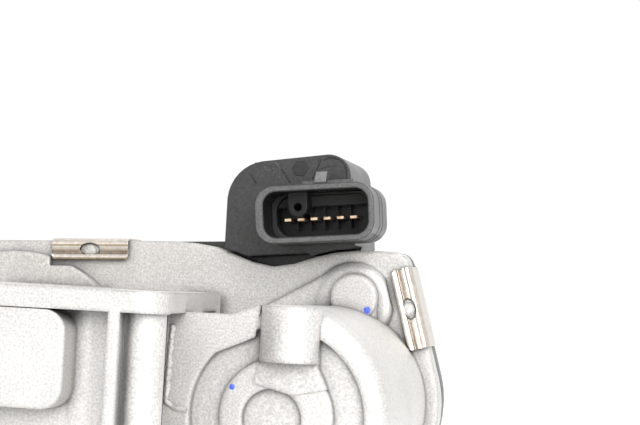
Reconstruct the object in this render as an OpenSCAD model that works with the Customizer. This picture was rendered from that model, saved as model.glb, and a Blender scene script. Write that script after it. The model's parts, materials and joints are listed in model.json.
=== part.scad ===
// Electronic throttle body: die-cast housing with a butterfly valve, a two-stage
// reduction gear, a small motor and a clipped-on plastic cover with its connector.
// Millimetres. +Z runs up along the bore, z = 0 is the mounting face, and the valve
// shaft and the motor lie along Y, with the gear case on the +Y side.

/* [Bore and mounting] */
// Diameter of the air bore
bore_d = 76; // [74:0.5:76.5]
// Thickness of the bore wall
bore_wall = 4; // [3.5:0.25:4]
// Thickness of the mounting flange
flange_t = 4; // [3.5:0.5:5]
// Bolt spacing along X
bolt_x = 64; // [62:1:66]
// Bolt spacing along Y
bolt_y = 76; // [75:0.5:78]
// Bolt hole diameter
bolt_hole_d = 6.6; // [6.4:0.1:6.8]
// Length of the hose spigot
spigot_len = 22; // [18:1:26]

/* [Valve] */
// Diameter of the valve shaft
shaft_d = 10; // [9.6:0.1:10.2]
// Thickness of the valve disc
disc_t = 2; // [1.5:0.25:2]
// Gap between the disc edge and the bore
disc_gap = 0.4; // [0.35:0.05:0.6]
// Opening of the disc at rest, in degrees
rest_angle = 6.5; // [5:0.5:8]

/* [Cover and clips] */
// Length of each spring clip
clip_w = 18.5; // [17:0.5:20]
// Thickness of the clip strip
clip_t = 0.7; // [0.5:0.05:0.8]
// Pitch of the connector blades
pin_pitch = 3; // [2.8:0.1:3.1]
// Wall of the connector shell
shell_t = 1.3; // [1.1:0.1:1.6]

/* [Part] */
// Which part to show

/* [Hidden] */

$fn = 72;

alloy = [0.78, 0.78, 0.79];
black = [0.17, 0.17, 0.18];
nickel = [0.74, 0.71, 0.66];
gold = [0.80, 0.62, 0.34];
steel = [0.62, 0.63, 0.65];
white = [0.90, 0.88, 0.82];

bore_r = bore_d / 2;
out_r = bore_r + bore_wall;
spigot_r = bore_r + 2.6;
shaft_r = shaft_d / 2;
near_y = -50;
flange_hx = 49.1;
column_r = 5.4;
foot_z = -40;
run_gap = 0.04;

// shaft axis and motor axis, as X and Z
S = [0, -20];
M = [63, -23.4];

// gear pairs: module and teeth
m1 = 1;
m2 = 0.8;
sector_n = 52;
small_n = 14;
wheel_n = 62;
pinion_n = 14;
backlash = 0.16;
d_si = m1 * (sector_n + small_n) / 2;
d_im = m2 * (wheel_n + pinion_n) / 2;
d_sm = norm(M - S);
along = (d_si * d_si - d_im * d_im + d_sm * d_sm) / (2 * d_sm);
aside = sqrt(d_si * d_si - along * along);
dir = (M - S) / d_sm;
I = S + along * dir + aside * [-dir[1], dir[0]];
phi1 = atan2(I[1] - S[1], I[0] - S[0]);
phi2 = atan2(M[1] - I[1], M[0] - I[0]);

// levels along Y
case_y = 44;
floor_y = 47;
rim_y = 50;
cover_y = 50.6;
lip_y = 53.2;
roof_y = 68.5;
top_y = 70.5;
well_y = -9.5;
dome_y = -13.5;
tower_y = 42;
socket_y = 28;
socket_floor_y = 42;

well_r = 17.9;
dome_r = 22;
can_r = 17.5;
tilt = 5.4;
lobe = [67.2, -0.6];
socket_c = [60.4, 18.9];
key_c = [-4.9, 1.8];
socket_hw = 13.1;
socket_hh = 6.4;

// ---- shared helpers

module bar_y(r, y0, y1, c = [0, 0]) {
    translate([c[0], y0, c[1]])
        rotate([-90, 0, 0])
            cylinder(r = r, h = y1 - y0);
}

module tube_y(ro, ri, y0, y1, c = [0, 0]) {
    difference() {
        bar_y(ro, y0, y1, c);
        bar_y(ri, y0 - 1, y1 + 1, c);
    }
}

module slab_y(y0, y1) {
    translate([0, y1, 0])
        rotate([90, 0, 0])
            linear_extrude(y1 - y0)
                children();
}

module box(lo, hi) {
    translate(lo)
        cube(hi - lo);
}

function arc(c, r, a0, a1, n) =
    [for (k = [0 : n]) c + r * [cos(a0 + (a1 - a0) * k / n), sin(a0 + (a1 - a0) * k / n)]];

// upper edge of the gear case, with a saddle under the connector
function edge_z(x, dip) = 11.6 + 0.042 * min(0, x - 25) - dip * exp(-pow((x - 48) / 11, 2));

// outline of the gear case set inward by d
function case_line(d, dip = 4.8) = concat(
    [for (k = [0 : 20]) let (x = -25 + 97.5 * k / 20) [x, edge_z(x, dip) - d]],
    arc([76.3, 8.2], 3.3 - min(d, 2.6), 90, 15.5, 5),
    arc(M, 24.9 - d, 15.5, -92, 16),
    arc(S, 31 - d, -92, -115, 4),
    arc(S, 31 - d, -155, -180, 4),
    arc([-25, 3.5], 6 - d, 180, 92, 6));

// rounded rectangle, centred
module round_rect(hx, hy, r) {
    square([2 * hx, 2 * (hy - r)], center = true);
    square([2 * (hx - r), 2 * hy], center = true);
    for (sx = [-1, 1])
        for (sy = [-1, 1])
            translate([sx * (hx - r), sy * (hy - r)])
                circle(r = r, $fn = 40);
}

// involute gear outline with one tooth centred on the first axis
function tilt_at(rb, r) = let (a = acos(min(1, rb / r))) tan(a) * 180 / PI - a;
function tooth_half(m, n, r) = let (
    rp = m * n / 2,
    rb = rp * cos(20),
    half = (PI * m / 2 - backlash) / (2 * rp) * 180 / PI)
    half + tilt_at(rb, rp) - tilt_at(rb, max(rb, r));
function polar(r, a) = [r * cos(a), r * sin(a)];
function gear_line(m, n) = let (
    rp = m * n / 2,
    ra = rp + m,
    rf = rp - 1.25 * m,
    rs = max(rf, rp * cos(20)),
    steps = [for (k = [0 : 4]) rs + (ra - rs) * k / 4])
    [for (t = [0 : n - 1]) let (c = 360 * t / n) each concat(
        [polar(rf, c - tooth_half(m, n, rs) - 0.2)],
        [for (r = steps) polar(r, c - tooth_half(m, n, r))],
        [for (k = [4 : -1 : 0]) polar(steps[k], c + tooth_half(m, n, steps[k]))],
        [polar(rf, c + tooth_half(m, n, rs) + 0.2)])];

// places of the cover clips: point on the edge and its direction
clip_spots = [[4.1, edge_z(4.1, 4.8), 2.4], [82.33, -0.6, -73.79], [36, -49.42, 182.45],
    [8, -50.62, 182.45], [-20.62, -40.62, 135]];

module at_clip(s) {
    translate([s[0], 0, s[1]])
        rotate([0, -s[2], 0])
            children();
}

// local frame of the connector, tilted with the socket
module at_socket() {
    translate([socket_c[0], 0, socket_c[1]])
        rotate([0, -tilt, 0])
            children();
}

module blades(grow = 0) {
    at_socket() {
        for (k = [0 : 5])
            let (x = (k - 2.5) * pin_pitch - 0.2, rear = 0.6 * x - 1.4)
                translate([0, 0, -0.9]) {
                    box([x - 0.75 - grow, 35, -0.32 - grow], [x + 0.75 + grow, 42.9, 0.32 + grow]);
                    translate([0, 0, -0.32 - grow])
                        linear_extrude(0.64 + 2 * grow)
                            polygon([[x - 0.75 - grow, 42.8], [x + 0.75 + grow, 42.8],
                                [rear + 0.45 + grow, 49], [rear + 0.45 + grow, 57.3 + grow],
                                [rear - 0.45 - grow, 57.3 + grow], [rear - 0.45 - grow, 49]]);
                    box([rear - 0.4 - grow, 56.4 - grow, -13.8],
                        [rear + 0.4 + grow, 57.3 + grow, 0]);
                }
    }
}

// ---- die-cast housing

module flange_plan() {
    polygon([[5 - flange_hx, near_y], [flange_hx - 5, near_y], [flange_hx, near_y + 5],
        [flange_hx - 3, -33], [bolt_x / 2 + column_r - 0.3, bolt_y / 2 - 1],
        [bolt_x / 2, bolt_y / 2], [-bolt_x / 2, bolt_y / 2],
        [-bolt_x / 2 - column_r + 0.3, bolt_y / 2 - 1], [3 - flange_hx, -33],
        [-flange_hx, near_y + 5]]);
    for (sx = [-1, 1]) {
        translate([sx * bolt_x / 2, bolt_y / 2])
            circle(r = column_r);
        translate([sx * (flange_hx - 5), near_y + 5])
            circle(r = 5);
    }
}

module bore_body() {
    translate([0, 0, -43])
        cylinder(r = out_r, h = 43, $fn = 120);
    translate([0, 0, -43])
        cylinder(r = out_r + 2.2, h = 5, $fn = 120);
    translate([0, 0, -43 - spigot_len])
        cylinder(r = spigot_r, h = spigot_len + 1, $fn = 120);
    translate([0, 0, -flange_t])
        linear_extrude(flange_t)
            flange_plan();
    for (sx = [-1, 1])
        for (sy = [-1, 1])
            translate([sx * bolt_x / 2, sy * bolt_y / 2, foot_z])
                cylinder(r = column_r, h = -foot_z);
}

// ribbed near face with pockets on both sides of the shaft boss
module near_face() {
    box([-45.4, -43, foot_z], [45.4, -35, -1]);
    slab_y(near_y, -36)
        translate([0, -13.2])
            round_rect(31.3, 9, 4);
    slab_y(near_y - 2, -36)
        translate(S)
            circle(r = 12);
    for (sx = [-1, 1]) {
        box([sx * 40.3 - 1.1, near_y, foot_z], [sx * 40.3 + 1.1, -33, -1]);
        translate([sx * 44.4, -43.8, foot_z])
            cylinder(r = 3.9, h = -foot_z - 1);
    }
    box([-42, near_y, foot_z], [42, -35, foot_z + 3]);
}

module motor_well() {
    difference() {
        union() {
            bar_y(dome_r, dome_y + 3, case_y + 1, M);
            bar_y(dome_r - 3, dome_y, dome_y + 4, M);
            translate([M[0], dome_y + 3, M[1]])
                rotate([-90, 0, 0])
                    rotate_extrude()
                        translate([dome_r - 3, 0])
                            circle(r = 3, $fn = 40);
        }
        bar_y(well_r, well_y, floor_y + 4, M);
        tube_y(17.6, 11.4, dome_y - 4, dome_y + 1.6, M);
        bar_y(6, dome_y - 1, dome_y + 1.5, M - [0.9, 0.5]);
        bar_y(3, well_y - 1.5, well_y + 1, M);
    }
    // half-round lug at the top of the dome, and the rib that runs from it to the hub
    difference() {
        translate([65, dome_y + 0.9, -12.6])
            cylinder(r = 6, h = 11);
        box([58, dome_y + 3, -14], [72, 0, 0]);
    }
    slab_y(dome_y - 0.2, dome_y + 1.7)
        polygon([[59.4, -5], [71, -5], [70.9, -13.2], [73, -17.4], [66, -19], [58, -17], [59.6, -12]]);
    // web to the bore
    slab_y(dome_y, dome_y + 3)
        polygon([[40, -3.8], [53, -3.8], [55.6, -2.7], [58.9, -1.6], [58, -8], [49, -12],
            [45, -20], [45, -27], [49, -35], [55, -41], [40, -40]]);
}

module case_shell() {
    difference() {
        slab_y(case_y, rim_y)
            polygon(case_line(0));
        slab_y(floor_y, rim_y + 1)
            polygon(case_line(2.2));
        bar_y(well_r, case_y - 2, floor_y + 4, M);
    }
    // shaft boss, pin boss and the two cast stops
    bar_y(13, 36, 47, S);
    bar_y(6.5, 40, 52.5, I);
    for (a = [109.5, -104])
        bar_y(2.4, floor_y - 1, 60, S + polar(20, a));
    box([-12, 34, foot_z], [12, case_y + 1, foot_z + 4]);
    box([-26, 34, -12], [26, case_y + 1, -5]);
    for (sx = [-1, 1])
        box([sx * 24 - 1.5, 33, -27], [sx * 24 + 1.5, case_y + 1, -5]);
    // rounded lobe behind the dome with a flat boss on it
    bar_y(7.2, 42, case_y + 1, lobe);
    translate([lobe[0], 44.2, lobe[1]])
        rotate([-90, 0, 0])
            rotate_extrude()
                translate([7.2, 0])
                    circle(r = 2.2, $fn = 32);
    bar_y(5.3, 40, case_y + 1, lobe + [0.7, 1.3]);
    slab_y(42.5, case_y + 1)
        polygon([[62.87, 6.83], [46.45, -2.73], [45.3, -5.5], [50, -9], [60, -9], [67.2, -3]]);
    box([lobe[0] - 3, 40.3, -6], [lobe[0] + 5.9, case_y + 1, 0.6]);
    // raised pad near the left end
    slab_y(case_y - 2, case_y + 1)
        polygon(concat(arc([-13, -24], 31.4, 105, 50, 14), [[7.2, -6], [-21.1, -6]]));
    // clip nubs
    for (s = clip_spots)
        at_clip(s)
            bar_y(1.5, case_y - 1.1, case_y + 0.5, [0, -2.4]);
}

module housing() color(alloy) {
    difference() {
        union() {
            bore_body();
            near_face();
            motor_well();
            case_shell();
        }
        // air bore
        translate([0, 0, -44 - spigot_len])
            cylinder(r = bore_r, h = 46 + spigot_len, $fn = 120);
        // bolt holes
        for (sx = [-1, 1])
            for (sy = [-1, 1])
                translate([sx * bolt_x / 2, sy * bolt_y / 2, foot_z - 1])
                    cylinder(r = bolt_hole_d / 2, h = 2 - foot_z);
        // shaft bores from end to end
        bar_y(shaft_r + 0.35, -45, 45, S);
        bar_y(7.5, near_y - 3, -39.5, S);
        bar_y(9.5, 38.4, 48, S);
        bar_y(well_r, well_y, floor_y + 4, M);
        // seats for the front legs of the clips, round their nubs
        for (s = [clip_spots[0], clip_spots[1]])
            at_clip(s)
                difference() {
                    box([-clip_w / 2 - 0.3, 41.9, -6], [clip_w / 2 + 0.3, case_y, 1.5]);
                    bar_y(1.5, case_y - 1.1, case_y + 1, [0, -2.4]);
                }
        // intermediate pin and motor screws
        bar_y(2.5, 43, 53, I);
        for (sx = [-1, 1])
            bar_y(1.5, 39, 48, M + polar(19.9, sx * 90));
    }
}

// ---- cover with the connector tower

// lower edge of the tower, a gap above the case
function tower_edge(gap) =
    [for (k = [0 : 12]) let (x = 66.4 - 29.6 * k / 12) [x, edge_z(x, 4.8) + gap]];

// lower edge of the front wall, which leaves a slot over the saddle of the case
function slot_edge() = concat(
    [for (k = [0 : 4]) let (x = 66.4 - 2.3 * k) [x, edge_z(x, 4.8) + 0.45]],
    [[56.3, 10.3], [42.2, 8.9], [39.6, 9.8], [36.8, 10.3]]);

module tower_plan(low) {
    polygon(concat([[36.8, 21.5]], arc([46.3, 21.5], 9.5, 176, 100, 8),
        [[59.9, 33]], arc([60.4, 28], 5, 88, 4, 8), [[67.3, 12.6]], low));
}

module cover() color(black) {
    difference() {
        union() {
            slab_y(cover_y, lip_y)
                polygon(case_line(0, 0.2));
            slab_y(lip_y - 0.5, top_y)
                polygon(case_line(2, 1));
            slab_y(tower_y, top_y - 1.1)
                tower_plan(slot_edge());
            slab_y(cover_y + 0.3, top_y - 0.8)
                tower_plan(tower_edge(-2.6));
            // connector shell, its latch base and latch tab
            at_socket() {
                slab_y(socket_y, tower_y + 4)
                    translate([-0.25, 0])
                        round_rect(socket_hw + 0.3, socket_hh, 4.2);
                box([-3.5, socket_y + 4, 5.8], [8.1, tower_y + 1, 7.4]);
                slab_y(socket_y + 3, socket_y + 9)
                    polygon([[-0.7, 6.1], [2, 6.1], [2.5, 9.3], [0, 9.3]]);
            }
            // lip that stands over the saddle of the case
            slab_y(cover_y, lip_y)
                polygon([[15, 10.4], [38, 9], [38, 12.4], [15, 11.2]]);
            // raised ribs on the outer face of the cover
            bar_y(17, top_y - 1, top_y + 1, M);
            bar_y(12, top_y - 1, top_y + 1, S);
        }
        // gear space
        slab_y(lip_y - 0.2, roof_y)
            polygon(case_line(3, 1.5));
        slab_y(cover_y - 1, lip_y)
            polygon(case_line(3.2, 4.8));
        // socket
        at_socket()
            slab_y(socket_y - 1, socket_floor_y)
                round_rect(socket_hw - shell_t, socket_hh - shell_t, 3);
        blades(0.02);
    }
    // post that steadies the far end of the intermediate pin
    tube_y(4.5, 2.55, 66.8, roof_y + 0.5, I);
    // key inside the socket
    difference() {
        at_socket()
            slab_y(socket_y + 5, socket_floor_y + 0.5)
                translate(key_c)
                    union() {
                        circle(r = 2.2);
                        translate([-2.2, 0])
                            square([4.4, 3.4]);
                    }
        at_socket()
            bar_y(0.9, socket_y, socket_floor_y - 1, key_c);
    }
}

module cover_gasket() color(black) {
    slab_y(rim_y, cover_y)
        difference() {
            polygon(case_line(0.6));
            polygon(case_line(1.8));
        }
}

module one_clip() {
    difference() {
        union() {
            box([-clip_w / 2, 43.1, 0.05], [clip_w / 2, lip_y + 0.1 + clip_t, 0.05 + clip_t]);
            box([-clip_w / 2, 43.2, -4.4], [clip_w / 2, 43.2 + clip_t, 0.3]);
            box([-clip_w / 2, lip_y + 0.1, -1.1], [clip_w / 2, lip_y + 0.1 + clip_t, 0.3]);
            bar_x(0.7, clip_w, [43.4, -4.2]);
        }
        bar_y(1.75, 42, 45, [0, -2.4]);
    }
}

// bar along X centred on zero, at a given Y and Z
module bar_x(r, l, c) {
    translate([-l / 2, c[0] - 0.4, c[1]])
        rotate([0, 90, 0])
            cylinder(r = r, h = l, $fn = 32);
}

module cover_clips() color(nickel) {
    for (s = clip_spots)
        at_clip(s)
            one_clip();
}

module connector_pins() color(gold) blades();

module sensor_board() color([0.1, 0.35, 0.2]) {
    slab_y(roof_y - 1.6, roof_y)
        translate(S)
            round_rect(13, 16, 2);
    box([-4, roof_y - 2.4, -23], [4, roof_y - 1.6, -17]);
    box([-9, roof_y - 2.2, -12], [-5, roof_y - 1.6, -9]);
}

// ---- valve

module at_disc() {
    translate([0, 0, S[1]])
        rotate([0, rest_angle, 0])
            children();
}

screw_y = [-14, 14];

module throttle_shaft() color(steel) {
    difference() {
        bar_y(shaft_r, -46.5, 61, S);
        at_disc() {
            box([-8, 0.2 - bore_r, 0], [8, bore_r - 0.2, 8]);
            for (y = screw_y)
                translate([0, y, -8])
                    cylinder(r = 1.6, h = 12, $fn = 32);
        }
    }
}

module throttle_plate() color([0.74, 0.70, 0.60]) {
    at_disc()
        difference() {
            cylinder(r = bore_r - disc_gap, h = disc_t, $fn = 120);
            for (y = screw_y)
                translate([0, y, -1])
                    cylinder(r = 1.8, h = 6, $fn = 32);
            for (s = [-1, 1])
                translate([0, s * (bore_r + 0.6), -2])
                    cylinder(r = 1.6, h = 8, $fn = 32);
        }
}

module plate_screws() color(steel) {
    at_disc()
        for (y = screw_y)
            translate([0, y, 0])
                difference() {
                    union() {
                        translate([0, 0, disc_t])
                            cylinder(r = 3.4, h = 1.6);
                        translate([0, 0, -4])
                            cylinder(r = 1.6, h = disc_t + 4.2, $fn = 32);
                    }
                    translate([-2.4, -0.4, disc_t + 0.9])
                        cube([4.8, 0.8, 2]);
                    translate([-0.4, -2.4, disc_t + 0.9])
                        cube([0.8, 4.8, 2]);
                }
}

module needle_bearing() color(steel) {
    tube_y(7.5, 6.9, -48, -39.6, S);
    tube_y(7.5, shaft_r + 0.6, -40.1, -39.6, S);
    for (a = [0 : 24 : 359])
        bar_y(0.92, -47.5, -40.4, S + polar(shaft_r + run_gap + 0.92, a));
}

module ball_bearing() color(steel) {
    tube_y(9.5, 8, 41.1, floor_y, S);
    tube_y(6.4, shaft_r + run_gap, 41.1, floor_y, S);
    for (a = [0 : 40 : 359])
        translate([S[0] + 7.2 * cos(a), 44, S[1] + 7.2 * sin(a)])
            sphere(r = 0.75, $fn = 32);
}

module shaft_seal() color(black) {
    difference() {
        bar_y(9.5, 38.4, 41, S);
        bar_y(shaft_r + run_gap, 38, 42, S);
        tube_y(8.2, 6.4, 39.6, 42, S);
    }
}

module shaft_end_plug() color(steel) {
    difference() {
        bar_y(7.5, -51.6, -48.4, S);
        bar_y(6.6, -52, -49.6, S);
    }
}

// ---- gears

sector_lo = phi1 - 20;
sector_hi = phi1 + 92;

module sector_gear() color(white) {
    difference() {
        union() {
            slab_y(55, 61)
                translate(S)
                    union() {
                        intersection() {
                            rotate(phi1)
                                polygon(gear_line(m1, sector_n));
                            polygon(concat([[0, 0]], arc([0, 0], 36, sector_lo, sector_hi, 6)));
                        }
                        circle(r = 13);
                    }
            bar_y(8, 54.4, 61, S);
        }
        bar_y(shaft_r + 0.02, 50, 63, S);
        // lightening windows between the hub and the toothed rim
        for (a = [phi1 + 8, phi1 + 64])
            slab_y(59, 62)
                translate(S)
                    polygon(concat(arc([0, 0], 15, a - 18, a + 18, 6),
                        arc([0, 0], 21.5, a + 18, a - 18, 6)));
    }
}

module sensor_magnet() color([0.25, 0.25, 0.27]) {
    bar_y(6, 61, 65, S);
}

module return_spring() color(steel) {
    for (k = [0 : 3])
        translate([S[0], 49 + 1.45 * k, S[1]])
            rotate([-90, 0, 0])
                rotate_extrude()
                    translate([12.4, 0])
                        circle(r = 0.75, $fn = 24);
    // hooked ends
    translate([S[0] - 17.4, 49, S[1]])
        rotate([0, 90, 0])
            cylinder(r = 0.75, h = 5, $fn = 24);
    translate([S[0], 53.35, S[1] - 17])
        cylinder(r = 0.75, h = 5, $fn = 24);
}

module spring_sleeve() color(white) {
    tube_y(11.3, 9.8, 47, 54.1, S);
    tube_y(14.6, 9.8, 47, 47.9, S);
}

module intermediate_gear() color(white) {
    difference() {
        union() {
            slab_y(54.5, 62)
                translate(I)
                    rotate(phi1 + 180 + 180 / small_n)
                        polygon(gear_line(m1, small_n));
            difference() {
                slab_y(62, 66)
                    translate(I)
                        rotate(phi2)
                            polygon(gear_line(m2, wheel_n));
                tube_y(21.5, 10, 64.5, 67, I);
            }
            bar_y(5.2, 53, 54.6, I);
        }
        bar_y(2.5 + run_gap, 52, 68, I);
    }
}

module intermediate_pin() color(steel) bar_y(2.5, 43, 68.3, I);

// ---- motor

module motor_can() color(steel) {
    difference() {
        bar_y(can_r, -7.5, case_y, M);
        bar_y(can_r - 1.2, -6.3, case_y + 1, M);
        bar_y(4, -9, 0, M);
    }
    tube_y(5.2, 4, -7.5, -3, M);
}

module motor_end_cap() color(black) {
    difference() {
        union() {
            bar_y(can_r, case_y, floor_y, M);
            tube_y(can_r - 1.3, 13.6, 38, case_y + 0.5, M);
        }
        bar_y(4, 40, 50, M);
        for (sx = [-1, 1])
            box([M[0] + sx * 9 - 1.55, 40, M[1] + 9.15], [M[0] + sx * 9 + 1.55, 50, M[1] + 9.95]);
    }
}

module motor_shaft() color(steel) bar_y(1.6, -8.4, 67, M);

module motor_armature() color([0.35, 0.30, 0.28]) {
    difference() {
        union() {
            bar_y(11, 4, 30, M);
            for (y = [1, 30])
                tube_y(8.8, 2.2, y, y + 3, M);
        }
        bar_y(1.62, -2, 40, M);
        for (k = [0 : 4])
            slab_y(3.5, 30.5)
                translate(M)
                    rotate(72 * k)
                        translate([9.4, -0.7])
                            square([3, 1.4]);
    }
}

module motor_commutator() color([0.72, 0.45, 0.25]) {
    difference() {
        tube_y(4.6, 1.62, 33.3, 40.5, M);
        for (k = [0 : 4])
            slab_y(34.5, 41)
                translate(M)
                    rotate(72 * k)
                        translate([4.1, -0.2])
                            square([1, 0.4]);
    }
}

module motor_magnets() color([0.22, 0.22, 0.24]) {
    for (a = [0, 180])
        slab_y(2, 34)
            translate(M)
                rotate(a)
                    polygon(concat(arc([0, 0], can_r - 1.22, -58, 58, 16),
                        arc([0, 0], 11.9, 58, -58, 12)));
}

module motor_pinion() color([0.78, 0.66, 0.38]) {
    difference() {
        slab_y(61.8, 66.8)
            translate(M)
                rotate(phi2 + 180 + 180 / pinion_n)
                    polygon(gear_line(m2, pinion_n));
        bar_y(1.61, 60, 70, M);
    }
}

module motor_spring_washer() color(steel) {
    translate([M[0], well_y, M[1]])
        rotate([-90, 0, 0])
            rotate_extrude()
                polygon([[10, 0], [11, 0], [15.5, 1.5], [15.5, 2], [14.5, 2], [10, 0.5]]);
}

module motor_plate() color(nickel) {
    difference() {
        union() {
            bar_y(17.8, floor_y, floor_y + 1.5, M);
            for (sx = [-1, 1])
                bar_y(2.5, floor_y, floor_y + 1.5, M + polar(19.9, sx * 90));
            box([M[0] - 2.5, floor_y, M[1] - 19.9], [M[0] + 2.5, floor_y + 1.5, M[1] + 19.9]);
        }
        bar_y(6, 40, 50, M);
        for (sx = [-1, 1]) {
            bar_y(1.6, 40, 50, M + polar(19.9, sx * 90));
            box([M[0] + sx * 9 - 2.4, 40, M[1] + 8], [M[0] + sx * 9 + 2.4, 50, M[1] + 11.2]);
        }
    }
}

module motor_screws() color(steel) {
    for (sx = [-1, 1])
        difference() {
            union() {
                bar_y(1.5, 40, 49, M + polar(19.9, sx * 90));
                bar_y(2.5, floor_y + 1.5, floor_y + 3.4, M + polar(19.9, sx * 90));
            }
            slab_y(floor_y + 2.3, 52)
                translate(M + polar(19.9, sx * 90))
                    circle(r = 1.1, $fn = 6);
        }
}

module motor_bushes() color([0.70, 0.52, 0.30]) {
    tube_y(4, 1.6 + run_gap, -7.4, -3, M);
    tube_y(4, 1.6 + run_gap, case_y, floor_y, M);
}

module motor_terminals() color(gold) {
    for (sx = [-1, 1])
        box([M[0] + sx * 9 - 1.5, 40, M[1] + 9.2], [M[0] + sx * 9 + 1.5, 53, M[1] + 9.9]);
}

housing();
cover();
cover_gasket();
cover_clips();
connector_pins();
sensor_board();
throttle_shaft();
throttle_plate();
plate_screws();
needle_bearing();
ball_bearing();
shaft_seal();
shaft_end_plug();
sector_gear();
sensor_magnet();
return_spring();
spring_sleeve();
intermediate_gear();
intermediate_pin();
motor_can();
motor_end_cap();
motor_shaft();
motor_armature();
motor_commutator();
motor_magnets();
motor_pinion();
motor_spring_washer();
motor_plate();
motor_screws();
motor_bushes();
motor_terminals();
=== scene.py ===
import json
import math
import random
import bpy
import bmesh
from mathutils import Matrix, Vector


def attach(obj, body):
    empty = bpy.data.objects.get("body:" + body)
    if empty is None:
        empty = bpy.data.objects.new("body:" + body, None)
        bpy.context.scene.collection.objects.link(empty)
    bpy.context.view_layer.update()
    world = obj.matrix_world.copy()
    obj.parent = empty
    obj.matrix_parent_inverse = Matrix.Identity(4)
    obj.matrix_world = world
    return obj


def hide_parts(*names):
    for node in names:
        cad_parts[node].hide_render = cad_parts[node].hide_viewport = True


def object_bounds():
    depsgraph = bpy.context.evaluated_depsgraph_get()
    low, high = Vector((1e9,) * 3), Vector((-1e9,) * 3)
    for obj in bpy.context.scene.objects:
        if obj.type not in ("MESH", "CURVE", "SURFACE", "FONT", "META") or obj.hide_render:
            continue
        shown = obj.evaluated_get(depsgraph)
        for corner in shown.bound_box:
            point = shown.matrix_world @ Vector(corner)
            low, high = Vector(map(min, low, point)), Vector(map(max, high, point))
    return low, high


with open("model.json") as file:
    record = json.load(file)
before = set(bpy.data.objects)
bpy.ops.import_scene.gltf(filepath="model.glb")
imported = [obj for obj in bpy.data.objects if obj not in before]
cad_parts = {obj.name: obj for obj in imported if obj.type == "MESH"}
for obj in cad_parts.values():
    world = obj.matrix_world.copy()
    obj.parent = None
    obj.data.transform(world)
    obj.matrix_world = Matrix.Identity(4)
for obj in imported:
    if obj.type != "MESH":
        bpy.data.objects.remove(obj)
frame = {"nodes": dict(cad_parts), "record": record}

cad_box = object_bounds()

# Pieces are written in millimetres, as in the CAD: X right, Y away from the camera, Z up the bore.
# Texture scales, edge radii, the floor, the lights and the camera are in metres.
MM = 0.001

# ---- places and sizes, mm --------------------------------------------------

# the socket's middle on the XZ plane and its tilt in degrees, and the Y where it meets the tower
SOCKET_X, SOCKET_Z, SOCKET_TILT = 60.4, 18.9, 5.4
TOWER_Y = 42.0

# room inside the socket where shade is painted into the plastic: axis, middle and half size
SOCKET_SHADE_ROOM = (("X", 0, 11.95), ("Z", 0, 5.25), ("Y", 35.8, 7.2))

# rounded rectangles of the socket: middle, half width, half height and corner radius
SHELL_RIM = (-0.25, 13.42, 6.42, 4.2)
SHELL_CREST = (-0.22, 13.2, 6.2, 4.0)
MOUTH_CREST = (-0.05, 12.1, 5.4, 3.3)
MOUTH_RIM = (0, 11.84, 5.14, 3.05)
STEP_OUTSIDE = (0, 11.75, 5.05, 2.9)
STEP_EDGE = (0, 10.8, 4.75, 3.4)
STEP_INSIDE = (0, 10.6, 4.55, 3.3)
LINE_ROOT = (-0.25, 13.35, 6.35, 4.2)
LINE_TOP = (-0.25, 13.44, 6.44, 4.2)

# Y of the crest and the back of the rim, of the step in the socket and of the socket's floor
CREST_Y, RIM_Y, STEP_Y, SOCKET_FLOOR_Y = 27.98, 28.6, 37.0, 41.9
LINE_YS = (35.6, 39.4)
LINE_HALF = 0.2

# ribs between the contact blades, and half the length of the shelf over them
RIB_XS = (-6.1, -3.05, 0.1, 3.1, 6.1)
RIB_HALF = 0.15
SHELF_HALF = 10.5

# half length and half thickness of a clip's strip, and the Y of the case's face behind it
CLIP_HALF = 9.25
STRIP_HALF = 0.22
CASE_Y = 44

# a clip's section as Y and height over the edge: hook, strap, two ridges, groove and lip
CLIP_LINE = [(53.52, -1.0), (53.52, 0.05), (53.3, 0.27), (44.6, 0.27), (43.6, 0.22),
             (43.0, -0.05), (42.72, -0.5), (42.65, -0.95), (42.8, -1.2), (42.8, -1.35),
             (42.66, -1.6), (42.66, -2.1), (43.36, -2.65), (43.38, -3.0), (43.2, -3.15),
             (42.8, -3.35), (42.66, -3.7), (42.6, -4.0), (42.68, -4.4)]

# the end rows of a clip are this far in, and draw the lip below LIP_TOP up a little
END_ROW, LIP_TOP, LIP_PULL = 0.35, -3.5, 0.45

# a clip's hole: half sizes and height of the middle, and the tongue on its lower edge
HOLE_X, HOLE_Z, HOLE_MID = 2.46, 1.46, -2.05
TONGUE_X, TONGUE_Z = 1.05, 0.75
HOLE_SIDES = 48
PAD_SHARE = 0.93

# where the clips sit: X and Z of the edge and its direction in degrees
CLIP_SPOTS = [(4.1, 10.722, 2.4), (82.33, -0.6, -73.79), (36, -49.42, 182.45),
              (8, -50.62, 182.45), (-20.62, -40.62, 135)]


# ---- materials -------------------------------------------------------------

# input and output numbers of a colour Mix node
MIX_AMOUNT, MIX_A, MIX_B, MIX_RESULT = 0, 6, 7, 2

# range of the roughness over a surface, and how strongly clouds of tone are mixed in
ROUGH_SPAN = 0.12
CLOUD_AMOUNT = 0.8

# how near a face has to be for painted shade in a crevice, and the depth of the bump, m
CREVICE_REACH = 0.004
RELIEF = 0.0002


def new_material(name):
    mat = bpy.data.materials.new(name)
    mat.use_nodes = True
    tree = mat.node_tree
    return mat, tree, tree.nodes["Principled BSDF"]


def noise(tree, scale, detail):
    coord = tree.nodes.new("ShaderNodeTexCoord")
    tex = tree.nodes.new("ShaderNodeTexNoise")
    tex.inputs["Scale"].default_value = scale
    tex.inputs["Detail"].default_value = detail
    tex.inputs["Roughness"].default_value = 0.55
    tree.links.new(coord.outputs["Object"], tex.inputs["Vector"])
    return tex.outputs["Fac"]


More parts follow.
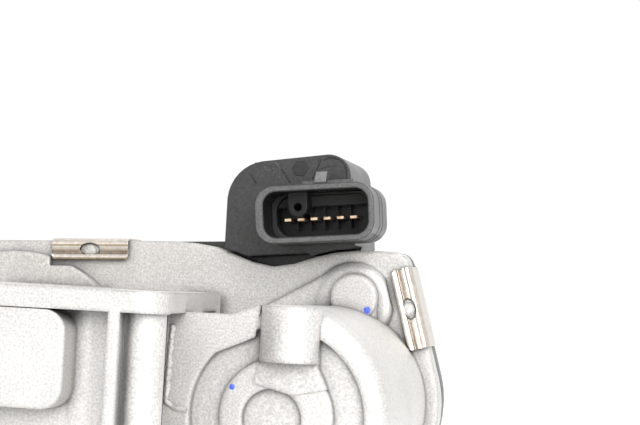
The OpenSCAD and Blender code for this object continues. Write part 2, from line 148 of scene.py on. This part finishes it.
def ramp(tree, source, low, high):
    """Colour that runs from low to high, each given as a position and a colour."""
    node = tree.nodes.new("ShaderNodeValToRGB")
    for element, (position, colour) in zip(node.color_ramp.elements, (low, high)):
        element.position = position
        element.color = (*colour, 1.0)
    tree.links.new(source, node.inputs["Fac"])
    return node.outputs["Color"]


def multiply(tree, colour, shade, amount):
    mix = tree.nodes.new("ShaderNodeMix")
    mix.data_type = "RGBA"
    mix.blend_type = "MULTIPLY"
    mix.inputs[MIX_AMOUNT].default_value = amount
    tree.links.new(colour, mix.inputs[MIX_A])
    tree.links.new(shade, mix.inputs[MIX_B])
    return mix.outputs[MIX_RESULT]


def grey(v):
    return (v, v, v)


def crevice_shade(tree, painted_shade):
    """Painted crevice shade: white in the open, darker by the share painted_shade where another
    face is near.
    """
    shade = tree.nodes.new("ShaderNodeAmbientOcclusion")
    shade.samples = 6
    shade.inputs["Distance"].default_value = CREVICE_REACH
    return ramp(tree, shade.outputs["AO"], (0.35, grey(1 - painted_shade)), (0.85, grey(1.0)))


def surface(name, dark, light, rough, metal, grain, bump, edge=0.0004, painted_shade=0.0):
    """Two-tone grain, clouds in colour and roughness, a fine bump, soft edges, painted shade in
    crevices.
    """
    mat, tree, bsdf = new_material(name)
    fine = noise(tree, grain, 3.0)
    broad = noise(tree, grain * 0.04, 4.0)
    tone = ramp(tree, fine, (0.35, dark), (0.65, light))
    cloud = ramp(tree, broad, (0.3, grey(0.86)), (0.7, grey(1.0)))
    colour = multiply(tree, tone, cloud, CLOUD_AMOUNT)
    # painted shade in the crevices, where another face is near
    if painted_shade:
        colour = multiply(tree, colour, crevice_shade(tree, painted_shade), 1.0)
    tree.links.new(colour, bsdf.inputs["Base Color"])
    shine = ramp(tree, broad, (0.25, grey(rough - ROUGH_SPAN / 2)),
                 (0.75, grey(rough + ROUGH_SPAN / 2)))
    tree.links.new(shine, bsdf.inputs["Roughness"])
    bsdf.inputs["Metallic"].default_value = metal
    soft = tree.nodes.new("ShaderNodeBevel")
    soft.samples = 4
    soft.inputs["Radius"].default_value = edge
    relief = tree.nodes.new("ShaderNodeBump")
    relief.inputs["Strength"].default_value = bump
    relief.inputs["Distance"].default_value = RELIEF
    tree.links.new(fine, relief.inputs["Height"])
    tree.links.new(soft.outputs["Normal"], relief.inputs["Normal"])
    tree.links.new(relief.outputs["Normal"], bsdf.inputs["Normal"])
    return mat


def math_node(tree, operation, first, second=None):
    """Math node on a socket and, where there is a second input, a number or another socket."""
    node = tree.nodes.new("ShaderNodeMath")
    node.operation = operation
    tree.links.new(first, node.inputs[0])
    if isinstance(second, bpy.types.NodeSocket):
        tree.links.new(second, node.inputs[1])
    elif second is not None:
        node.inputs[1].default_value = second
    return node.outputs[0]


def socket_shade_mask(tree):
    """1 in the room inside the socket, where shade is painted, and 0 outside it."""
    coord = tree.nodes.new("ShaderNodeTexCoord")
    turn = tree.nodes.new("ShaderNodeMapping")
    turn.vector_type = "TEXTURE"
    turn.inputs["Location"].default_value = (SOCKET_X * MM, 0, SOCKET_Z * MM)
    turn.inputs["Rotation"].default_value = (0, -math.radians(SOCKET_TILT), 0)
    split = tree.nodes.new("ShaderNodeSeparateXYZ")
    tree.links.new(coord.outputs["Object"], turn.inputs["Vector"])
    tree.links.new(turn.outputs["Vector"], split.inputs["Vector"])
    inside = None
    for axis, middle, half in SOCKET_SHADE_ROOM:
        shifted = math_node(tree, "SUBTRACT", split.outputs[axis], middle * MM)
        away = math_node(tree, "ABSOLUTE", shifted)
        near = math_node(tree, "LESS_THAN", away, half * MM)
        inside = near if inside is None else math_node(tree, "MULTIPLY", inside, near)
    return inside


def paint_socket_shade(mat):
    """Paints shade inside the socket: the material darker and duller there."""
    tree = mat.node_tree
    bsdf = tree.nodes["Principled BSDF"]
    inside = socket_shade_mask(tree)
    mix = tree.nodes.new("ShaderNodeMix")
    mix.data_type = "RGBA"
    # colour of the painted shade
    mix.inputs[MIX_B].default_value = (*grey(0.011), 1)
    tree.links.new(inside, mix.inputs[MIX_AMOUNT])
    tree.links.new(bsdf.inputs["Base Color"].links[0].from_socket, mix.inputs[MIX_A])
    tree.links.new(mix.outputs[MIX_RESULT], bsdf.inputs["Base Color"])
    gloss = tree.nodes.new("ShaderNodeMapRange")
    gloss.inputs["To Min"].default_value = 0.5
    gloss.inputs["To Max"].default_value = 0.25
    tree.links.new(inside, gloss.inputs["Value"])
    tree.links.new(gloss.outputs["Result"], bsdf.inputs["Specular IOR Level"])


# name, dark and light colour, roughness, metallic, grain scale, bump, edge radius, painted crevice
# shade
CAST = surface("cast_alloy", (0.50, 0.49, 0.475), (0.70, 0.685, 0.665), 0.50, 0.5, 2300, 0.28,
               0.0014, painted_shade=0.7)
NYLON = surface("black_nylon", grey(0.025), grey(0.044), 0.31, 0.0, 1800, 0.18, 0.0005)
RIM_NYLON = surface("worn_nylon", grey(0.075), grey(0.12), 0.30, 0.0, 1800, 0.2)
TAB_NYLON = surface("rubbed_nylon", grey(0.15), grey(0.20), 0.4, 0.0, 1800, 0.2, 0.0003)
# shaded copy of the black nylon: painted shade in the socket and in the tower's grooves
SHADED_NYLON = surface("shaded_nylon", grey(0.010), grey(0.018), 0.6, 0.0, 1800, 0.2)
SEAL = surface("seal_rubber", grey(0.012), grey(0.022), 0.7, 0.0, 1500, 0.3)
NICKEL = surface("nickel_strip", (0.62, 0.56, 0.495), (0.74, 0.675, 0.605), 0.2, 0.95, 900, 0.04,
                 0.0003, painted_shade=0.3)
GOLD = surface("gold_flash", (0.60, 0.42, 0.27), (0.88, 0.70, 0.50), 0.28, 0.9, 1500, 0.1, 0.0002)
BOARD = surface("circuit_board", (0.01, 0.10, 0.04), (0.02, 0.17, 0.07), 0.4, 0.0, 1200, 0.1)
STEEL = surface("ground_steel", grey(0.42), grey(0.60), 0.30, 1.0, 1800, 0.12, 0.0003)
BRASS = surface("rolled_brass", (0.50, 0.42, 0.25), (0.68, 0.58, 0.38), 0.34, 0.95, 1500, 0.15,
                0.0003)
ACETAL = surface("acetal", (0.62, 0.59, 0.50), (0.72, 0.69, 0.60), 0.45, 0.0, 900, 0.08, 0.0003)
FERRITE = surface("ferrite", grey(0.03), grey(0.05), 0.55, 0.1, 1200, 0.3)
WOUND = surface("laminations", (0.10, 0.07, 0.05), (0.20, 0.14, 0.10), 0.45, 0.6, 1600, 0.3)
COPPER = surface("copper", (0.50, 0.24, 0.12), (0.70, 0.38, 0.22), 0.35, 0.95, 1500, 0.15)
BLUE = surface("blue_paint", (0.05, 0.09, 0.58), (0.10, 0.17, 0.76), 0.4, 0.0, 1200, 0.2)
# painted shade inside the socket
paint_socket_shade(NYLON)

FINISH = {
    "alloy": CAST, "black_plastic": NYLON, "rubber": SEAL, "nickel": NICKEL, "gold": GOLD,
    "board": BOARD, "steel": STEEL, "brass": BRASS, "pale_plastic": ACETAL, "magnet": FERRITE,
    "armature": WOUND, "copper": COPPER,
}


def finish_cad_nodes():
    """Gives each CAD node the material of its slot in the record."""
    for part in frame["record"]["subparts"]:
        node = frame["nodes"][part["node"]]
        node.data.materials.clear()
        node.data.materials.append(FINISH[part["material_slot"]])


finish_cad_nodes()


# ---- piece builders --------------------------------------------------------

def point(x, y, z):
    return Vector((x * MM, y * MM, z * MM))


def frame_at(x, z, angle):
    """Local frame on the XZ plane: x along the edge, z outward, turned by angle in degrees."""
    return Matrix.Translation(point(x, 0, z)) @ Matrix.Rotation(-math.radians(angle), 4, "Y")


def new_object(name, bm):
    """Object with the mesh built in bm, which is used up."""
    mesh = bpy.data.meshes.new(name)
    bm.to_mesh(mesh)
    bm.free()
    obj = bpy.data.objects.new(name, mesh)
    bpy.context.collection.objects.link(obj)
    return obj


def add_piece(name, bm, mat, smooth=False):
    """Visible piece that rides on the housing's body."""
    bmesh.ops.recalc_face_normals(bm, faces=bm.faces)
    piece = new_object(name, bm)
    piece.data.materials.append(mat)
    for face in piece.data.polygons:
        face.use_smooth = smooth
    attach(piece, "body")
    return piece


def add_ring(bm, outline, y, place=Matrix.Identity(4)):
    """Vertices of an outline of X and Z, at one Y."""
    return [bm.verts.new(place @ point(x, y, z)) for x, z in outline]


def bridge(bm, a, b):
    """Faces between two rings of as many vertices."""
    n = len(a)
    for k in range(n):
        bm.faces.new((a[k], a[(k + 1) % n], b[(k + 1) % n], b[k]))


def loft(bm, rings, closed=False):
    """Skin over the rings in turn, and back to the first one if it is closed."""
    for a, b in zip(rings, rings[1:]):
        bridge(bm, a, b)
    if closed:
        bridge(bm, rings[-1], rings[0])


def add_solid(bm, rings):
    """Skin over the rings with both its ends capped."""
    loft(bm, rings)
    bm.faces.new(rings[0])
    bm.faces.new(rings[-1])


def add_prism(bm, outline, y0, y1, place=Matrix.Identity(4)):
    add_solid(bm, [add_ring(bm, outline, y, place) for y in (y0, y1)])


def add_box(bm, low, high, place):
    outline = [(low[0], low[2]), (high[0], low[2]), (high[0], high[2]), (low[0], high[2])]
    add_prism(bm, outline, low[1], high[1], place)


# ---- spring clips ----------------------------------------------------------

def offset_line(line, d):
    """The line moved sideways by d."""
    out = []
    for k, (x, y) in enumerate(line):
        before = Vector(line[max(k - 1, 0)])
        after = Vector(line[min(k + 1, len(line) - 1)])
        along = (after - before).normalized()
        out.append((x - along.y * d, y + along.x * d))
    return out


def add_strip(bm, place):
    """Bent strip of a clip, with the corners of its lip drawn in."""
    front, back = offset_line(CLIP_LINE, STRIP_HALF), offset_line(CLIP_LINE, -STRIP_HALF)
    section = front + back[::-1]
    rows = []
    for x in (-CLIP_HALF, -CLIP_HALF + END_ROW, CLIP_HALF - END_ROW, CLIP_HALF):
        pull = LIP_PULL if abs(x) == CLIP_HALF else 0.0
        rows.append([bm.verts.new(place @ point(x, y, z + (pull if z < LIP_TOP else 0.0)))
                     for y, z in section])
    add_solid(bm, rows)


def hole_outline(scale):
    """Oval along the strip, with a tongue that rises from its lower edge."""
    outline = []
    for k in range(HOLE_SIDES):
        a = 2 * math.pi * k / HOLE_SIDES
        x, z = HOLE_X * math.cos(a), HOLE_Z * math.sin(a)
        if z < 0 and abs(x) < TONGUE_X:
            z += TONGUE_Z * math.cos(math.pi / 2 * x / TONGUE_X)
        outline.append((x * scale, z * scale + HOLE_MID))
    return outline


def cut(obj, tool):
    """Takes the tool's shape out of obj, and removes the tool."""
    mod = obj.modifiers.new("cut", "BOOLEAN")
    mod.operation = "DIFFERENCE"
    mod.solver = "EXACT"
    mod.object = tool
    bpy.context.view_layer.update()
    shaped = bpy.data.meshes.new_from_object(
        obj.evaluated_get(bpy.context.evaluated_depsgraph_get()))
    obj.modifiers.clear()
    obj.data = shaped
    bpy.data.objects.remove(tool)


def build_clip(number, place):
    bm = bmesh.new()
    add_strip(bm, place)
    clip = add_piece("clip_%d" % number, bm, NICKEL)
    bm = bmesh.new()
    add_prism(bm, hole_outline(1.0), CASE_Y - 2.5, CASE_Y + 0.6, place)
    bmesh.ops.recalc_face_normals(bm, faces=bm.faces)
    cut(clip, new_object("clip_hole", bm))
    return clip


def build_clips():
    """The clips, and the cast pads seen through their holes."""
    clips = [build_clip(k + 1, frame_at(*spot)) for k, spot in enumerate(CLIP_SPOTS)]
    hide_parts("cover_clips")
    bm = bmesh.new()
    for spot in CLIP_SPOTS:
        add_prism(bm, hole_outline(PAD_SHARE), CASE_Y - 0.9, CASE_Y + 0.2, frame_at(*spot))
    add_piece("clip_pads", bm, CAST)


build_clips()


# ---- marks on the connector tower ------------------------------------------

def add_stroke(bm, a, b, width, depth=0.05):
    """Thin bar from a to b that stands depth proud of the tower's front face."""
    a, b = Vector(a), Vector(b)
    along = (b - a).normalized()
    side = Vector((-along.y, along.x)) * width / 2
    add_prism(bm, [a + side, b + side, b - side, a - side], TOWER_Y - depth, TOWER_Y + 0.1)


def add_path(bm, points, width):
    for a, b in zip(points, points[1:]):
        add_stroke(bm, a, b, width)


def circle(x, z, r, turns, sides):
    """Points round (x, z), from the first to the second of two angles in degrees."""
    start, end = (math.radians(turn) for turn in turns)
    angles = [start + (end - start) * k / sides for k in range(sides + 1)]
    return [(x + r * math.cos(a), z + r * math.sin(a)) for a in angles]


def build_grooves():
    """Bars of painted shade for the grooves: two slanted, one long, an arch with its chord, a
    hexagon.
    """
    bm = bmesh.new()
    add_path(bm, [(42.0, 27.9), (42.7, 26.7), (43.5, 25.7)], 0.42)
    add_path(bm, [(49.1, 29.3), (50.2, 27.9), (51.5, 26.1)], 0.42)
    add_path(bm, [(58.3, 31.8), (57.8, 30.4), (57.3, 29.0), (56.6, 27.2)], 0.36)
    add_path(bm, circle(61.0, 28.9, 3.4, (125, 0), 10) + [(64.4, 26.8)], 0.36)
    add_path(bm, [(58.0, 29.4), (59.2, 29.9), (60.4, 30.3), (61.8, 30.5)], 0.16)
    hexagon = circle(53.6, 29.5, 2.0, (0, 360), 6)[:-1]
    add_prism(bm, hexagon, TOWER_Y - 0.06, TOWER_Y + 0.1)
    add_piece("tower_grooves", bm, SHADED_NYLON)


def build_scratches():
    """Paler bars for the scratches on the tower."""
    bm = bmesh.new()
    add_path(bm, [(47.4, 31.2), (48.2, 30.2), (48.9, 29.3)], 0.18)
    add_path(bm, [(64.75, 29.4), (64.8, 26.8)], 0.16)
    add_path(bm, [(52.6, 27.6), (54.6, 27.6), (55.7, 29.4)], 0.14)
    add_piece("tower_scratch", bm, RIM_NYLON)


def build_dust():
    """Specks of dust on the upper left of the tower."""
    rng = random.Random(21)
    bm = bmesh.new()
    for _ in range(34):
        x = rng.gauss(47.2, 1.7)
        z = min(30.4, rng.gauss(29.0, 1.1))
        r = rng.uniform(0.04, 0.11)
        add_stroke(bm, (x - r, z), (x + r, z + rng.uniform(-r, r)), 1.4 * r, 0.03)
    add_piece("tower_dust", bm, TAB_NYLON)


build_grooves()
build_scratches()
build_dust()


# ---- socket ----------------------------------------------------------------

SOCKET = frame_at(SOCKET_X, SOCKET_Z, SOCKET_TILT)


def rounded_outline(middle, half_x, half_z, radius, steps=8):
    """Rounded rectangle, from its upper right corner round to the left."""
    outline = []
    for corner, (sx, sz) in enumerate(((1, 1), (-1, 1), (-1, -1), (1, -1))):
        for k in range(steps + 1):
            a = math.pi / 2 * (corner + k / steps)
            outline.append((middle + sx * (half_x - radius) + radius * math.cos(a),
                            sz * (half_z - radius) + radius * math.sin(a)))
    return outline


def loft_socket(bm, rows, closed=False):
    """Skin over rounded rectangles of the socket, each given with its Y."""
    loft(bm, [add_ring(bm, rounded_outline(*shape), y, SOCKET) for shape, y in rows], closed)


def build_step():
    """Step inside the socket with its chamfered edge, and the shelf over the blades, dark with
    painted shade.
    """
    bm = bmesh.new()
    loft_socket(bm, [
        (STEP_OUTSIDE, SOCKET_FLOOR_Y), (STEP_OUTSIDE, STEP_Y), (STEP_EDGE, STEP_Y),
        (STEP_INSIDE, STEP_Y + 0.2), (STEP_INSIDE, SOCKET_FLOOR_Y)], closed=True)
    add_box(bm, (-SHELF_HALF, 38.6, 2.1), (SHELF_HALF, SOCKET_FLOOR_Y, 4.5), SOCKET)
    add_piece("socket_step", bm, SHADED_NYLON)


def build_ribs():
    """Ribs between the blades, the edge of the shelf, and a thin bar at the left of the step."""
    bm = bmesh.new()
    for x in RIB_XS:
        add_box(bm, (x - RIB_HALF, 38.2, -3.2), (x + RIB_HALF, SOCKET_FLOOR_Y, 2.0), SOCKET)
    add_box(bm, (-SHELF_HALF, 38.4, 1.95), (SHELF_HALF, 38.7, 2.15), SOCKET)
    add_box(bm, (-10.72, 36.9, -3.0), (-10.56, 37.3, 1.4), SOCKET)
    add_piece("socket_ribs", bm, NYLON)


def build_rim():
    """Worn edge round the mouth of the socket."""
    bm = bmesh.new()
    loft_socket(bm, [
        (SHELL_RIM, RIM_Y), (SHELL_RIM, CREST_Y + 0.07), (SHELL_CREST, CREST_Y),
        (MOUTH_CREST, CREST_Y), (MOUTH_RIM, CREST_Y + 0.12), (MOUTH_RIM, RIM_Y)])
    add_piece("socket_rim", bm, RIM_NYLON)


def build_lines():
    """Two dark lines round the outside of the shell."""
    bm = bmesh.new()
    for y in LINE_YS:
        loft_socket(bm, [
            (LINE_ROOT, y - LINE_HALF), (LINE_TOP, y - LINE_HALF),
            (LINE_TOP, y + LINE_HALF), (LINE_ROOT, y + LINE_HALF)], closed=True)
    add_piece("socket_lines", bm, SHADED_NYLON)


def build_latch_faces():
    """Paler front of the latch tab, and of the bar under it."""
    bm = bmesh.new()
    tab = [(-0.6, 6.9), (2.1, 6.9), (2.5, 9.3), (0.0, 9.3)]
    add_prism(bm, tab, 30.9, 31.1, SOCKET)
    add_piece("latch_face", bm, TAB_NYLON)
    bm = bmesh.new()
    add_box(bm, (-3.5, 31.92, 6.5), (8.1, 32.1, 7.4), SOCKET)
    add_piece("latch_bar_face", bm, RIM_NYLON)


build_step()
build_ribs()
build_rim()
build_lines()
build_latch_faces()


# ---- casting details -------------------------------------------------------

def build_dab(name, x, y, z, r, seed):
    """Flat irregular dab of paint on a face that looks along -Y."""
    thick, sides = 0.1, 22
    rng = random.Random(seed)
    bm = bmesh.new()
    wobble = [rng.uniform(0.82, 1.12) for _ in range(sides)]
    centre = bm.verts.new(point(x, y - thick, z))
    rings = []
    for share, lift in ((0.7, 0.85), (1.0, 0.0)):
        angles = [2 * math.pi * k / sides for k in range(sides)]
        outline = [(x + r * share * w * math.cos(a), z + r * share * w * math.sin(a))
                   for w, a in zip(wobble, angles)]
        rings.append(add_ring(bm, outline, y - thick * lift))
    inner = rings[0]
    for k in range(sides):
        bm.faces.new((centre, inner[k], inner[(k + 1) % sides]))
    loft(bm, rings)
    add_piece(name, bm, BLUE, smooth=True)


def build_scar(name, path, y, width, seed):
    """Rough raised ridge left where the casting gate was trimmed."""
    rng = random.Random(seed)
    bm = bmesh.new()
    rows = []
    for a, b in zip(path, path[1:]):
        a, b = Vector(a), Vector(b)
        steps = max(2, int((b - a).length / 0.5))
        along = (b - a).normalized()
        side = Vector((-along.y, along.x))
        for k in range(steps):
            middle = a.lerp(b, k / steps)
            w = width * rng.uniform(0.7, 1.15)
            h = rng.uniform(0.5, 1.0)
            section = [(middle + side * w * share, lift * h) for share, lift in
                       ((-0.5, -0.3), (-0.3, 0.5), (0.0, 0.9), (0.3, 0.5), (0.5, -0.3))]
            rows.append([bm.verts.new(point(p.x, y - lift + rng.uniform(-0.08, 0.08), p.y))
                         for p, lift in section])
    for a, b in zip(rows, rows[1:]):
        for k in range(len(a) - 1):
            bm.faces.new((a[k], a[k + 1], b[k + 1], b[k]))
    add_piece(name, bm, CAST)


build_dab("paint_dot_dome", 53.9, -13.5, -18.0, 0.6, 3)
build_dab("paint_dot_boss", 71.1, 40.0, -2.0, 0.8, 5)
build_scar("gate_scar", [(41.1, -6.5), (40.8, -12), (40.6, -21.8), (42.2, -22.9), (45.4, -23.3)],
           -13.4, 1.7, 11)


# ---- floor, light and camera, m --------------------------------------------

FLOOR_FRONT, FLOOR_BACK, FLOOR_HALF_WIDTH = -3.0, 1.6, 4.0
SWEEP_RADIUS, WALL_TOP = 0.8, 4.0

CAMERA_PLACE = (0.1371, -0.3557, 0.0016)
CAMERA_TURN, CAMERA_PITCH, CAMERA_ROLL = 11.15, 2.55, 3.1
LENS, SENSOR = 100.0, 36.0


def build_floor(z):
    """A pale sweep: flat floor that rises into a wall far behind."""
    line = [(FLOOR_FRONT, 0.0), (FLOOR_BACK, 0.0)]
    line += [(FLOOR_BACK + SWEEP_RADIUS * math.sin(a), SWEEP_RADIUS - SWEEP_RADIUS * math.cos(a))
             for a in (math.pi / 2 * k / 12 for k in range(1, 13))]
    line.append((FLOOR_BACK + SWEEP_RADIUS, WALL_TOP))
    bm = bmesh.new()
    left, right = ([bm.verts.new((x, y, z + h)) for y, h in line]
                   for x in (-FLOOR_HALF_WIDTH, FLOOR_HALF_WIDTH))
    for k in range(len(line) - 1):
        bm.faces.new((left[k], right[k], right[k + 1], left[k + 1]))
    floor = new_object("floor", bm)
    mat, tree, bsdf = new_material("floor_paper")
    paper = ramp(tree, noise(tree, 40, 2.0), (0.0, grey(0.93)), (1.0, grey(0.96)))
    tree.links.new(paper, bsdf.inputs["Base Color"])
    bsdf.inputs["Roughness"].default_value = 0.9
    floor.data.materials.append(mat)
    for face in floor.data.polygons:
        face.use_smooth = True


def area_light(name, place, target, size, power):
    data = bpy.data.lights.new(name, "AREA")
    data.shape = "RECTANGLE"
    data.size, data.size_y = size
    data.energy = power
    lamp = bpy.data.objects.new(name, data)
    bpy.context.collection.objects.link(lamp)
    lamp.location = place
    aim = Vector(target) - Vector(place)
    lamp.rotation_euler = aim.to_track_quat("-Z", "Y").to_euler()


def build_lights():
    """Key light from the upper right, a weak fill from the left, a top light and a white room."""
    area_light("key", (0.45, -0.78, 0.40), (0.04, 0, 0), (0.7, 0.6), 8.5)
    area_light("fill", (-0.50, -0.80, 0.35), (0.0, 0, 0), (0.5, 0.5), 0.4)
    area_light("top", (0.1, 0.2, 0.9), (0.03, 0, 0), (0.8, 0.6), 4.0)
    world = bpy.data.worlds.new("studio")
    world.use_nodes = True
    room = world.node_tree.nodes["Background"]
    room.inputs["Color"].default_value = (1, 1, 1, 1)
    room.inputs["Strength"].default_value = 1.0
    bpy.context.scene.world = world
    bpy.context.scene.view_settings.view_transform = "Standard"


def build_camera():
    data = bpy.data.cameras.new("camera")
    data.sensor_width = SENSOR
    data.lens = LENS
    data.clip_start = 0.01
    cam = bpy.data.objects.new("camera", data)
    bpy.context.collection.objects.link(cam)
    turn, pitch, roll = (math.radians(a) for a in (CAMERA_TURN, CAMERA_PITCH, CAMERA_ROLL))
    ahead = Vector((-math.sin(turn) * math.cos(pitch), math.cos(turn) * math.cos(pitch),
                    math.sin(pitch)))
    level = Vector((math.cos(turn), math.sin(turn), 0))
    upright = level.cross(ahead)
    right = level * math.cos(roll) + upright * math.sin(roll)
    up = upright * math.cos(roll) - level * math.sin(roll)
    axes = Matrix((right, up, -ahead)).transposed().to_4x4()
    cam.matrix_world = Matrix.Translation(CAMERA_PLACE) @ axes
    bpy.context.scene.camera = cam


build_floor(cad_box[0][2])
build_lights()
build_camera()
